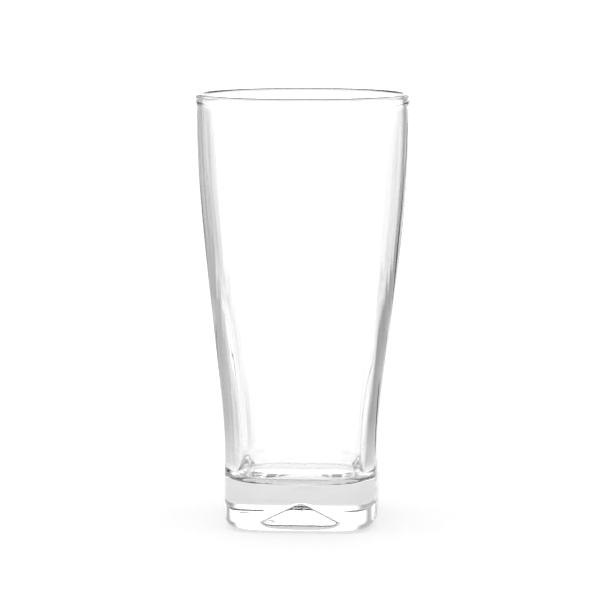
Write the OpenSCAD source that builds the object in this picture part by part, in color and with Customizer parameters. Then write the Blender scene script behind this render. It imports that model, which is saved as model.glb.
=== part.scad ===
// Pint glass: one piece of clear glass, square at the foot and round at the rim.
// Millimetres. +Z is up, the origin is the middle of the resting face, and the foot's flats face X and Y.

/* [Overall] */
// Height from the resting face to the top of the lip
height = 169; // [140:1:200]
// Diameter over the lip, at its widest
rim_d = 84; // [72:0.5:100]
// Width of the square foot, flat to flat
foot_w = 60; // [50:0.5:70]

/* [Outline] */
// Height up to which the foot stands straight
foot_h = 28; // [20:1:40]
// Length over which the wall leaves the foot's vertical line
flare_low = 31; // [10:1:50]
// Length over which the wall settles into the rim's vertical line
flare_high = 56; // [10:1:70]
// Length of plain, straight wall under the lip
collar_h = 7; // [6:0.5:20]
// Squareness of the foot: 2 is a circle, and more is squarer
foot_square = 5; // [2:0.1:7]
// Height at which the outside has become round
round_h = 115; // [70:1:135]

/* [Wall and floor] */
// Wall thickness just under the lip
rim_wall = 2.2; // [1.6:0.1:3]
// Wall thickness at the foot, on the flats
foot_wall = 3.4; // [2.4:0.1:5]
// Thickness of the solid base, from the resting face to the cavity's floor
base_t = 18; // [13:0.5:24]
// Squareness of the cavity's floor against the foot's: 1 is as square, and 0 is a circle
floor_share = 1; // [0:0.05:1.1]
// Radius between the cavity's floor and its wall
floor_fillet = 6; // [2:0.5:10]

/* [Lip] */
// Thickness of the fire-polished lip
lip_t = 2.7; // [2:0.1:4]
// Height of the lip's round, from its widest level to its top
lip_h = 1.8; // [1:0.1:3]
// How far the lip stands out beyond the wall under it
lip_swell = 0.4; // [0:0.05:0.8]

/* [Underside] */
// Radius between the foot's sides and the resting face
heel_r = 4.5; // [2:0.5:7]
// Width of the resting face on the flats, from the heel to the hollow's edge
land_w = 2.5; // [1.5:0.25:5]
// Depth of the four-sided hollow at its peak
hollow_h = 8; // [2:0.5:10]
// Squareness of the hollow against the foot's: 1 is as square, and more is sharper at the four hips
hollow_share = 1.7; // [0:0.05:1.8]
// Rounding of the hollow's peak
peak_r = 1; // [0.5:0.25:4]
// Number of knurls on the resting face
knurl_n = 72; // [24:1:120]
// Smooth margin between the hollow's edge and the knurls
knurl_gap = 0.2; // [0.1:0.05:0.6]
// Share of the resting face at which the knurls end, outwards from the hollow's edge
knurl_share = 0.75; // [0.3:0.05:0.9]
// Radius of the groove that cuts a knurl
knurl_r = 0.6; // [0.3:0.05:0.8]
// Depth of the groove that cuts a knurl
knurl_depth = 0.4; // [0.15:0.05:0.6]

/* [Quality] */
// Sides of each ring of the body
ring_sides = 60; // [48:4:68]
// Rings up the outside, and again down the inside
wall_rings = 24; // [16:1:28]
// Rings round the heel, the lip and the floor's fillet
round_rings = 6; // [4:1:8]
// Rings from the hollow's edge to its peak
hollow_rings = 6; // [4:1:10]

/* [Hidden] */

glass = [0.86, 0.91, 0.92, 0.45];
over_t = 1.06;
cut_sides = 16;
halvings = 30;
crowding = 2;
round_n = 2;

foot_r = foot_w / 2;
collar_r = rim_d / 2 - lip_swell;
collar_z = height - collar_h;
lip_z = height - lip_h;
lip_low_z = lip_z - (lip_z - collar_z) / 2;
lip_mid_r = rim_d / 2 - lip_t / 2;
floor_n = round_n + (foot_square - round_n) * floor_share;
heel_edge_r = foot_r - heel_r;
hollow_r = heel_edge_r - land_w;
hollow_n = round_n + (foot_square - round_n) * hollow_share;
peak_t = peak_r / hollow_r;

// A smooth step from 0 to 1
function ease(t) = let (c = max(0, min(1, t))) c * c * (3 - 2 * c);

// The flare is one cubic curve with upright ends: its height, and how far it has opened, at t from 0 to 1
function flare_z(t) =
    foot_h * pow(1 - t, 3)
    + 3 * (foot_h + flare_low) * t * pow(1 - t, 2)
    + 3 * (collar_z - flare_high) * pow(t, 2) * (1 - t)
    + collar_z * pow(t, 3);
function flare_r(t) = foot_r + (collar_r - foot_r) * ease(t);

// The value of t at which the flare has height z, by halving
function flare_t(z, low = 0, high = 1, left = halvings) =
    let (mid = (low + high) / 2)
    left == 0 ? mid
    : flare_z(mid) < z ? flare_t(z, mid, high, left - 1)
    : flare_t(z, low, mid, left - 1);

// Half width of the plain wall's outside, without the lip's swell
function wall_w(z) = z <= foot_h ? foot_r : z >= collar_z ? collar_r : flare_r(flare_t(z));

// Half width and squareness of the outside at height z
function outer_w(z) = wall_w(z) + lip_swell * ease((z - lip_low_z) / (lip_z - lip_low_z));
function outer_n(z) = foot_square + (round_n - foot_square) * ease((z - foot_h / 2) / (round_h - foot_h / 2));

// Wall thickness, half width and squareness of the cavity at height z
function wall_t(z) = rim_wall + (foot_wall - rim_wall) * (1 - ease((z - base_t) / (collar_z - base_t)));
function inner_w(z) = wall_w(z) - wall_t(z);
function inner_n(z) = floor_n + (round_n - floor_n) * ease((z - base_t) / (round_h - base_t));

// Height of the hollow at t, from 1 at its edge to 0 at its peak: straight slopes that round off at the peak
function hollow_z(t) = hollow_h * (1 - (norm([t, peak_t]) - peak_t) / (norm([1, peak_t]) - peak_t));

// A ring is [half width, height, squareness]. The rings run from the resting face up the outside,
// over the lip and down the inside to the floor.
heel_rings = [for (i = [0 : round_rings - 1])
    let (a = 90 * i / round_rings)
    [foot_r - heel_r * (1 - sin(a)), heel_r * (1 - cos(a)), outer_n(0)]];
outer_rings = [for (i = [0 : wall_rings - 1])
    let (z = heel_r + (lip_low_z - heel_r) * i / (wall_rings - 1))
    [outer_w(z), z, outer_n(z)]];
swell_rings = [for (i = [1 : round_rings - 1])
    let (z = lip_low_z + (lip_z - lip_low_z) * i / round_rings)
    [outer_w(z), z, round_n]];
lip_rings = [for (i = [0 : 2 * round_rings])
    let (a = 90 * i / round_rings)
    [lip_mid_r + lip_t / 2 * cos(a), lip_z + lip_h * sin(a), round_n]];
inner_top_z = lip_z - lip_t;
fillet_z = base_t + floor_fillet;
inner_rings = [for (i = [0 : wall_rings - 1])
    let (z = inner_top_z + (fillet_z - inner_top_z) * i / (wall_rings - 1))
    [inner_w(z), z, inner_n(z)]];
fillet_rings = [for (i = [1 : round_rings])
    let (a = 90 * i / round_rings, z = fillet_z - floor_fillet * sin(a))
    [inner_w(z) - floor_fillet * (1 - cos(a)), z, inner_n(z)]];
body_rings = concat(heel_rings, outer_rings, swell_rings, lip_rings, inner_rings, fillet_rings);

// The hollow's rings run up its slopes from below the resting face to a small round flat on its peak
hollow_slopes = [for (i = [0 : hollow_rings - 1])
    let (t = peak_t + (over_t - peak_t) * pow(1 - i / (hollow_rings - 1), crowding))
    [hollow_r * t, hollow_z(t), i < hollow_rings - 1 ? hollow_n : round_n]];

// Distance from the axis to a squared circle of half width w at angle a
function squircle(w, n, a) = w / pow(pow(abs(cos(a)), n) + pow(abs(sin(a)), n), 1 / n);

// One closed skin over the rings, with a flat face on the first ring and on the last
module skin(rings) {
    count = len(rings);
    sides = ring_sides;
    points = [for (ring = rings, i = [0 : sides - 1])
        let (a = 360 * i / sides, r = squircle(ring[0], ring[2], a))
        [r * cos(a), r * sin(a), ring[1]]];
    lower = [for (k = [0 : count - 2], i = [0 : sides - 1])
        [k * sides + i, (k + 1) * sides + i, (k + 1) * sides + (i + 1) % sides]];
    upper = [for (k = [0 : count - 2], i = [0 : sides - 1])
        [k * sides + i, (k + 1) * sides + (i + 1) % sides, k * sides + (i + 1) % sides]];
    first_face = [for (i = [0 : sides - 1]) i];
    last_face = [for (i = [sides - 1 : -1 : 0]) (count - 1) * sides + i];
    polyhedron(points, concat([first_face], lower, upper, [last_face]));
}

// The grooves that leave the knurls on the inner part of the resting face
module knurl_grooves() {
    for (i = [0 : knurl_n - 1]) {
        a = 360 * (i + 0.5) / knurl_n;
        edge_r = squircle(hollow_r, hollow_n, a);
        from_r = edge_r + knurl_gap;
        to_r = edge_r + knurl_share * (squircle(heel_edge_r, foot_square, a) - edge_r);
        rotate([0, 0, a])
            translate([from_r, 0, knurl_depth - knurl_r])
                rotate([0, 90, 0])
                    cylinder(r = knurl_r, h = to_r - from_r, $fn = cut_sides);
    }
}

module glass_body() {
    color(glass)
        difference() {
            skin(body_rings);
            skin(hollow_slopes);
            knurl_grooves();
        }
}

glass_body();
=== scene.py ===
import math
import bpy
import numpy as np
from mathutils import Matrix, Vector

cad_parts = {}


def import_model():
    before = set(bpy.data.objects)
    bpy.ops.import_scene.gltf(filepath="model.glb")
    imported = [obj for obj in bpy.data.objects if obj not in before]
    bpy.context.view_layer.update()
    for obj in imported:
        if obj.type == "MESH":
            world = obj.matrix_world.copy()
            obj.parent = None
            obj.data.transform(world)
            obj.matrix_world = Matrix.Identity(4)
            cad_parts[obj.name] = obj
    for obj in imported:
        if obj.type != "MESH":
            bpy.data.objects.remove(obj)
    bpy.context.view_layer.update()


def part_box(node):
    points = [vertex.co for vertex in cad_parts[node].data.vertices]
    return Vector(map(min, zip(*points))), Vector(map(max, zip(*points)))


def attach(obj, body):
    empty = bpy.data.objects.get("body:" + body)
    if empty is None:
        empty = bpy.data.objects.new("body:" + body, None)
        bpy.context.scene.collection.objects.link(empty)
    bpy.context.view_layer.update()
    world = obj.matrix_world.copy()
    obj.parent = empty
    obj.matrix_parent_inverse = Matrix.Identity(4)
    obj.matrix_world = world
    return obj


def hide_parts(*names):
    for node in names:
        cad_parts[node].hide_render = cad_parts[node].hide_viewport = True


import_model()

# ---------------------------------------------------------------- sizes, in metres
MM = 0.001
LOW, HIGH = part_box("glass_body")
HEIGHT = HIGH[2] - LOW[2]
RIM_R = (HIGH[0] - LOW[0]) / 2
FOOT_R = 30 * MM
FOOT_H = 28 * MM
FLARE_LOW = 31 * MM
FLARE_HIGH = 56 * MM
COLLAR_H = 7 * MM
FOOT_SQUARE = 5
ROUND_H = 115 * MM
RIM_WALL = 2.2 * MM
FOOT_WALL = 3.4 * MM
BASE_T = 18 * MM
FLOOR_FILLET = 6 * MM
LIP_T = 2.7 * MM
LIP_H = 1.8 * MM
LIP_SWELL = 0.4 * MM
HEEL_R = 4.5 * MM
LAND_W = 2.5 * MM
HOLLOW_H = 8 * MM
HOLLOW_SHARE = 1.7
HIP_SHARE = 5
HIP_FROM = 0.7
PEAK_R = 1 * MM
KNURL_N = 72
KNURL_GAP = 0.2 * MM
KNURL_SHARE = 0.75
KNURL_R = 0.6 * MM
KNURL_DEPTH = 0.4 * MM
KNURL_STEP = 0.02 * MM
ROUND = 2

COLLAR_R = RIM_R - LIP_SWELL
COLLAR_Z = HEIGHT - COLLAR_H
LIP_Z = HEIGHT - LIP_H
LIP_LOW_Z = LIP_Z - (LIP_Z - COLLAR_Z) / 2
LIP_MID_R = RIM_R - LIP_T / 2
HEEL_EDGE_R = FOOT_R - HEEL_R
HOLLOW_R = HEEL_EDGE_R - LAND_W
HOLLOW_N = ROUND + (FOOT_SQUARE - ROUND) * HOLLOW_SHARE
HIP_N = ROUND + (FOOT_SQUARE - ROUND) * HIP_SHARE
PEAK_T = PEAK_R / HOLLOW_R

# Points round each ring: the same number to every knurl, all the way up
KNURL_SIDES = 8
SIDES = KNURL_N * KNURL_SIDES
ANGLES = np.arange(SIDES) * 2 * math.pi / SIDES

# Rings of each stretch of the outline
HOLLOW_RINGS = 30
HOLLOW_START = 0.12
HOLLOW_CROWDING = 1.6
KNURL_RINGS = 10
HEEL_RINGS = 20
WALL_RINGS = 90
SWELL_RINGS = 10
LIP_RINGS = 28
FILLET_RINGS = 16
FLOOR_RINGS = 14
FLOOR_START = 0.03
FLARE_STEPS = 400

# The mould's faint upright waves on the inside: how many go round, how steep they are,
# and how far they turn in a metre, in radians
WAVES = (
    (11, 0.010, 14),
    (19, 0.012, -23),
    (31, 0.012, 31),
    (47, 0.010, -40),
    (67, 0.008, 55),
    (89, 0.006, -70),
)
WAVE_RISE = 14 * MM
WAVE_FADE = 20 * MM

# ---------------------------------------------------------------- glass, floor and studio values
GLASS_IOR = 1.52
ABSORB_COLOUR = (0.9, 0.9, 0.9, 1)
ABSORB = 50
HAZE_SCALE = 60
HAZE_DETAIL = 4
HAZE_LOW = 0.35
HAZE_HIGH = 0.75
ROUGH_LOW = 0.004
ROUGH_HIGH = 0.022
RIPPLE_ACROSS = 420
RIPPLE_ALONG = 26
RIPPLE_DETAIL = 2
RIPPLE_STRENGTH = 0.25
RIPPLE_DEPTH = 0.04 * MM

FLOOR_ALBEDO = 0.3
FLOOR_GLOW = 0.6
FLOOR_SIDES = 96
FLOOR_DROP = 0.2 * MM
# the floor is whole up to the first radius and clear at the second
FLOOR_FADE = 0.075
FLOOR_EDGE = 0.2

# The studio's angles are in degrees: those called LOW and HIGH are heights over the horizon.
# The panels on the four axes, out to either side of each axis, and how they brighten upwards
PANEL_IN = 9
PANEL_OUT = 24
PANEL_LIGHT = 1.5
PANEL_HIGH = 2.6
BRIGHT_LOW = -6
BRIGHT_HIGH = 4
# The low panels on the four diagonals, out to either side of each diagonal, and their upper edge
CORNER_IN = 9
CORNER_OUT = 14
CORNER_LOW = -16.8
CORNER_HIGH = -15
CORNER_LIFT = -0.15
# The duller gaps between the panels
GAP_LOW = -16
GAP_HIGH = 10
GAP_DARK = 0.5
GAP_LIGHT = 0.7
GAP_TURN = -0.25
# The even light below the panels, and the ceiling
SKIRT_LOW = -25
SKIRT_HIGH = -19
SKIRT_LIGHT = 1.0
DOME_LOW = 35
DOME_HIGH = 50
DOME_LIGHT = 2.4

CAMERA_TURN = 3.5
CAMERA_AWAY = 1.05
CAMERA_HEIGHT = 0.2253
CAMERA_LENS = 161
CAMERA_SENSOR = 36
AIM_SIDE = -0.0011
AIM_HEIGHT = 0.0875


# ---------------------------------------------------------------- outline
def ease(t):
    """A smooth step from 0 to 1."""
    c = np.clip(t, 0, 1)
    return c * c * (3 - 2 * c)


FLARE_T = np.linspace(0, 1, FLARE_STEPS)
FLARE_Z = (FOOT_H * (1 - FLARE_T) ** 3
           + 3 * (FOOT_H + FLARE_LOW) * FLARE_T * (1 - FLARE_T) ** 2
           + 3 * (COLLAR_Z - FLARE_HIGH) * FLARE_T ** 2 * (1 - FLARE_T)
           + COLLAR_Z * FLARE_T ** 3)


def wall_w(z):
    """Half width of the plain wall's outside at height z, without the lip's swell."""
    return FOOT_R + (COLLAR_R - FOOT_R) * ease(np.interp(z, FLARE_Z, FLARE_T))


def outer_w(z):
    """Half width of the outside at height z."""
    return wall_w(z) + LIP_SWELL * ease((z - LIP_LOW_Z) / (LIP_Z - LIP_LOW_Z))


def outer_n(z):
    """Squareness of the outside at height z: 2 is a circle, and more is squarer."""
    return FOOT_SQUARE + (ROUND - FOOT_SQUARE) * ease((z - FOOT_H / 2) / (ROUND_H - FOOT_H / 2))


def inner_w(z):
    """Half width of the cavity at height z, where the wall thins from the foot to the collar."""
    return wall_w(z) - RIM_WALL - (FOOT_WALL - RIM_WALL) * (1 - ease((z - BASE_T) / (COLLAR_Z - BASE_T)))


def inner_n(z):
    """Squareness of the cavity at height z."""
    return FOOT_SQUARE + (ROUND - FOOT_SQUARE) * ease((z - BASE_T) / (ROUND_H - BASE_T))


def squircle(w, n):
    """Distance from the axis to a squared circle of half width w, at every angle."""
    return w / (np.abs(np.cos(ANGLES)) ** n + np.abs(np.sin(ANGLES)) ** n) ** (1 / n)


def hollow_n(t):
    """Squareness of the hollow at t: its hips are crisper than the corners of its edge."""
    return HIP_N + (HOLLOW_N - HIP_N) * ease((t - HIP_FROM) / (1 - HIP_FROM))


def hollow_z(t):
    """Height of the hollow at t, from 1 at its edge to 0 at its peak."""
    return HOLLOW_H * (1 - (math.hypot(t, PEAK_T) - PEAK_T) / (math.hypot(1, PEAK_T) - PEAK_T))


def knurl_z(r):
    """Height of the grooves over the resting face, for a ring of radius r."""
    step = 2 * math.pi / KNURL_N
    off = (ANGLES % step) - step / 2
    across = np.abs(r * np.sin(off))
    arch = np.sqrt(np.maximum(KNURL_R ** 2 - across ** 2, 0))
    return np.maximum(arch - (KNURL_R - KNURL_DEPTH), 0)


def wave(z):
    """How far the inside wall stands off its plain form at height z."""
    fade = ease((z - BASE_T) / WAVE_RISE) * ease((LIP_Z - z) / WAVE_FADE)
    total = np.zeros(SIDES)
    for count, steep, turn in WAVES:
        total += steep / count * np.sin(count * ANGLES + turn * z + count * count)
    return FOOT_R * fade * total


# ---------------------------------------------------------------- the glass
def underside_rings():
    """From the hollow's peak, down to its edge, and out over the knurled land."""
    flat = np.zeros(SIDES)
    rings = []
    for t in np.linspace(HOLLOW_START, 1, HOLLOW_RINGS) ** HOLLOW_CROWDING:
        rings.append((squircle(HOLLOW_R * t, hollow_n(t)), flat + hollow_z(t)))
    inner = squircle(HOLLOW_R, HOLLOW_N)
    outer = squircle(HEEL_EDGE_R, FOOT_SQUARE)
    start = inner + KNURL_GAP
    end = inner + (outer - inner) * KNURL_SHARE
    rings.append((start - KNURL_STEP, flat))
    for t in np.linspace(0, 1, KNURL_RINGS):
        r = start + (end - start) * t
        rings.append((r, knurl_z(r)))
    rings.append((end + KNURL_STEP, flat))
    rings.append((outer, flat))
    return rings


def outside_rings():
    """Round the heel, up the wall and over the lip."""
    flat = np.zeros(SIDES)
    rings = []
    for a in np.linspace(0, math.pi / 2, HEEL_RINGS)[1:]:
        w = FOOT_R - HEEL_R * (1 - math.sin(a))
        rings.append((squircle(w, FOOT_SQUARE), flat + HEEL_R * (1 - math.cos(a))))
    for z in np.linspace(HEEL_R, LIP_LOW_Z, WALL_RINGS)[1:]:
        rings.append((squircle(outer_w(z), outer_n(z)), flat + z))
    for z in np.linspace(LIP_LOW_Z, LIP_Z, SWELL_RINGS)[1:-1]:
        rings.append((flat + outer_w(z), flat + z))
    for a in np.linspace(0, math.pi, LIP_RINGS):
        rings.append((flat + LIP_MID_R + LIP_T / 2 * math.cos(a), flat + LIP_Z + LIP_H * math.sin(a)))
    return rings


def inside_rings():
    """Down the cavity's wall, round its fillet and in over its floor."""
    flat = np.zeros(SIDES)
    rings = []
    for z in np.linspace(LIP_Z - LIP_T, BASE_T + FLOOR_FILLET, WALL_RINGS):
        rings.append((squircle(inner_w(z), inner_n(z)) + wave(z), flat + z))
    for a in np.linspace(0, math.pi / 2, FILLET_RINGS)[1:]:
        z = BASE_T + FLOOR_FILLET * (1 - math.sin(a))
        w = inner_w(z) - FLOOR_FILLET * (1 - math.cos(a))
        rings.append((squircle(w, inner_n(z)) + wave(z), flat + z))
    edge = rings[-1][0]
    for t in np.linspace(1, FLOOR_START, FLOOR_RINGS)[1:]:
        rings.append((edge * t, flat + BASE_T))
    return rings


def mesh_from_rings(name, rings):
    """A closed mesh over rings of (distance from the axis, height), with a point at each end."""
    points = [np.column_stack((r * np.cos(ANGLES), r * np.sin(ANGLES), z)) for r, z in rings]
    count = len(rings)
    points.append(np.array([[0, 0, HOLLOW_H], [0, 0, BASE_T]]))
    i = np.arange(SIDES)
    j = (i + 1) % SIDES
    quads = [np.column_stack((k * SIDES + i, k * SIDES + j, (k + 1) * SIDES + j, (k + 1) * SIDES + i))
             for k in range(count - 1)]
    faces = np.concatenate(quads).tolist()
    bottom = count * SIDES
    top = bottom + 1
    last = (count - 1) * SIDES
    faces += [[bottom, b, a] for a, b in zip(i.tolist(), j.tolist())]
    faces += [[top, last + a, last + b] for a, b in zip(i.tolist(), j.tolist())]
    mesh = bpy.data.meshes.new(name)
    mesh.from_pydata(np.concatenate(points).tolist(), [], faces)
    mesh.polygons.foreach_set("use_smooth", [True] * len(mesh.polygons))
    mesh.update()
    return mesh


def add_object(name, mesh):
    obj = bpy.data.objects.new(name, mesh)
    bpy.context.scene.collection.objects.link(obj)
    return obj


# ---------------------------------------------------------------- materials
def maths(tree, operation, first, second=None, third=None):
    """A maths node's result; each input is a number or another node's socket."""
    node = tree.nodes.new("ShaderNodeMath")
    node.operation = operation
    for socket, value in zip(node.inputs, (first, second, third)):
        if isinstance(value, bpy.types.NodeSocket):
            tree.links.new(value, socket)
        elif value is not None:
            socket.default_value = value
    return node.outputs[0]


def ramp(tree, value, low, high, at_low, at_high, kind="SMOOTHSTEP"):
    """Runs from at_low to at_high while the value runs from low to high."""
    node = tree.nodes.new("ShaderNodeMapRange")
    node.interpolation_type = kind
    tree.links.new(value, node.inputs["Value"])
    for name, end in (("From Min", low), ("From Max", high), ("To Min", at_low), ("To Max", at_high)):
        if isinstance(end, bpy.types.NodeSocket):
            tree.links.new(end, node.inputs[name])
        else:
            node.inputs[name].default_value = end
    return node.outputs["Result"]


def clear_glass():
    """Clear glass, faintly hazed and rippled, that greys the light a little in its thickness."""
    mat = bpy.data.materials.new("clear_glass")
    mat.use_nodes = True
    tree = mat.node_tree
    glass = tree.nodes["Principled BSDF"]
    glass.inputs["Base Color"].default_value = (1, 1, 1, 1)
    glass.inputs["IOR"].default_value = GLASS_IOR
    glass.inputs["Transmission Weight"].default_value = 1.0
    place = tree.nodes.new("ShaderNodeTexCoord").outputs["Object"]
    # a trace of haze from handling, in soft patches
    haze = tree.nodes.new("ShaderNodeTexNoise")
    haze.inputs["Scale"].default_value = HAZE_SCALE
    haze.inputs["Detail"].default_value = HAZE_DETAIL
    tree.links.new(place, haze.inputs["Vector"])
    rough = ramp(tree, haze.outputs["Fac"], HAZE_LOW, HAZE_HIGH, ROUGH_LOW, ROUGH_HIGH)
    tree.links.new(rough, glass.inputs["Roughness"])
    # the mould leaves upright ripples, much longer than they are wide
    long = tree.nodes.new("ShaderNodeMapping")
    long.inputs["Scale"].default_value = (RIPPLE_ACROSS, RIPPLE_ACROSS, RIPPLE_ALONG)
    tree.links.new(place, long.inputs["Vector"])
    ripple = tree.nodes.new("ShaderNodeTexNoise")
    ripple.inputs["Scale"].default_value = 1
    ripple.inputs["Detail"].default_value = RIPPLE_DETAIL
    tree.links.new(long.outputs[0], ripple.inputs["Vector"])
    bump = tree.nodes.new("ShaderNodeBump")
    bump.inputs["Strength"].default_value = RIPPLE_STRENGTH
    bump.inputs["Distance"].default_value = RIPPLE_DEPTH
    tree.links.new(ripple.outputs["Fac"], bump.inputs["Height"])
    tree.links.new(bump.outputs[0], glass.inputs["Normal"])
    absorb = tree.nodes.new("ShaderNodeVolumeAbsorption")
    absorb.inputs["Color"].default_value = ABSORB_COLOUR
    absorb.inputs["Density"].default_value = ABSORB
    tree.links.new(absorb.outputs[0], tree.nodes["Material Output"].inputs["Volume"])
    return mat


glass_rings = underside_rings() + outside_rings() + inside_rings()
glass = add_object("glass_shell", mesh_from_rings("glass_shell", glass_rings))
glass.data.materials.append(clear_glass())
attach(glass, "root")
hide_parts("glass_body")


# ---------------------------------------------------------------- stage
def floor():
    """A pale round table that glows a little and fades into the studio's light towards its edge."""
    corners = [2 * math.pi * i / FLOOR_SIDES for i in range(FLOOR_SIDES)]
    rim = [(FLOOR_EDGE * math.cos(a), FLOOR_EDGE * math.sin(a), 0) for a in corners]
    mesh = bpy.data.meshes.new("floor")
    mesh.from_pydata(rim, [], [list(range(FLOOR_SIDES))])
    mat = bpy.data.materials.new("pale_floor")
    mat.use_nodes = True
    tree = mat.node_tree
    paint = tree.nodes["Principled BSDF"]
    paint.inputs["Base Color"].default_value = (FLOOR_ALBEDO, FLOOR_ALBEDO, FLOOR_ALBEDO, 1)
    paint.inputs["Roughness"].default_value = 1.0
    paint.inputs["Specular IOR Level"].default_value = 0.0
    paint.inputs["Emission Color"].default_value = (1, 1, 1, 1)
    paint.inputs["Emission Strength"].default_value = FLOOR_GLOW
    flat = tree.nodes.new("ShaderNodeVectorMath")
    flat.operation = "MULTIPLY"
    flat.inputs[1].default_value = (1, 1, 0)
    tree.links.new(tree.nodes.new("ShaderNodeNewGeometry").outputs["Position"], flat.inputs[0])
    away = tree.nodes.new("ShaderNodeVectorMath")
    away.operation = "LENGTH"
    tree.links.new(flat.outputs[0], away.inputs[0])
    tree.links.new(ramp(tree, away.outputs["Value"], FLOOR_FADE, FLOOR_EDGE, 1.0, 0.0), paint.inputs["Alpha"])
    mesh.materials.append(mat)
    obj = add_object("floor", mesh)
    obj.location.z = LOW[2] - FLOOR_DROP


def sine(degrees):
    return math.sin(math.radians(degrees))


def world():
    """Upright white panels round the glass, duller gaps between them, and a bright ceiling."""
    studio = bpy.data.worlds.new("studio")
    bpy.context.scene.world = studio
    studio.use_nodes = True
    tree = studio.node_tree
    tree.nodes.clear()
    way = tree.nodes.new("ShaderNodeSeparateXYZ")
    tree.links.new(tree.nodes.new("ShaderNodeTexCoord").outputs["Generated"], way.inputs[0])
    x, y, z = way.outputs["X"], way.outputs["Y"], way.outputs["Z"]
    # how far round from the nearest of the four axes, as a share of a quarter turn
    turn = maths(tree, "DIVIDE", maths(tree, "ARCTAN2", x, y), math.pi / 2)
    off = maths(tree, "PINGPONG", turn, 0.5)
    square = ramp(tree, off, PANEL_IN / 90, PANEL_OUT / 90, 1.0, 0.0)
    # on the diagonals the panels lie low: past the glass, towards +Y, they end 16 degrees down,
    # and on the camera's side 7 degrees down
    corner = ramp(tree, off, (45 - CORNER_OUT) / 90, (45 - CORNER_IN) / 90, 0.0, 1.0)
    shifted = maths(tree, "MULTIPLY_ADD", maths(tree, "LESS_THAN", y, 0.0), CORNER_LIFT, z)
    low = ramp(tree, shifted, sine(CORNER_LOW), sine(CORNER_HIGH), 1.0, 0.0)
    panel = maths(tree, "MAXIMUM", square, maths(tree, "MULTIPLY", corner, low))
    # the gaps, a little duller towards +X
    gap = ramp(tree, z, sine(GAP_LOW), sine(GAP_HIGH), GAP_DARK, GAP_LIGHT, "LINEAR")
    gap = maths(tree, "MULTIPLY", gap, maths(tree, "MULTIPLY_ADD", x, GAP_TURN, 1.0))
    bright = ramp(tree, z, sine(BRIGHT_LOW), sine(BRIGHT_HIGH), PANEL_LIGHT, PANEL_HIGH)
    sides = ramp(tree, panel, 0.0, 1.0, gap, bright, "LINEAR")
    # an even light below them, and the ceiling above
    skirt = ramp(tree, z, sine(SKIRT_LOW), sine(SKIRT_HIGH), SKIRT_LIGHT, sides)
    light = ramp(tree, z, sine(DOME_LOW), sine(DOME_HIGH), skirt, DOME_LIGHT)
    glow = tree.nodes.new("ShaderNodeBackground")
    tree.links.new(light, glow.inputs["Strength"])
    tree.links.new(glow.outputs[0], tree.nodes.new("ShaderNodeOutputWorld").inputs[0])


def camera():
    cam = bpy.data.cameras.new("camera")
    obj = add_object("camera", cam)
    turn = math.radians(CAMERA_TURN)
    obj.location = (CAMERA_AWAY * math.sin(turn), -CAMERA_AWAY * math.cos(turn), CAMERA_HEIGHT)
    aim = Vector((AIM_SIDE * math.cos(turn), AIM_SIDE * math.sin(turn), AIM_HEIGHT))
    obj.rotation_euler = (aim - obj.location).to_track_quat("-Z", "Y").to_euler()
    cam.sensor_width = CAMERA_SENSOR
    cam.lens = CAMERA_LENS
    cam.clip_start = 0.05
    cam.clip_end = 200
    bpy.context.scene.camera = obj


floor()
world()
camera()
bpy.context.scene.view_settings.view_transform = "Standard"
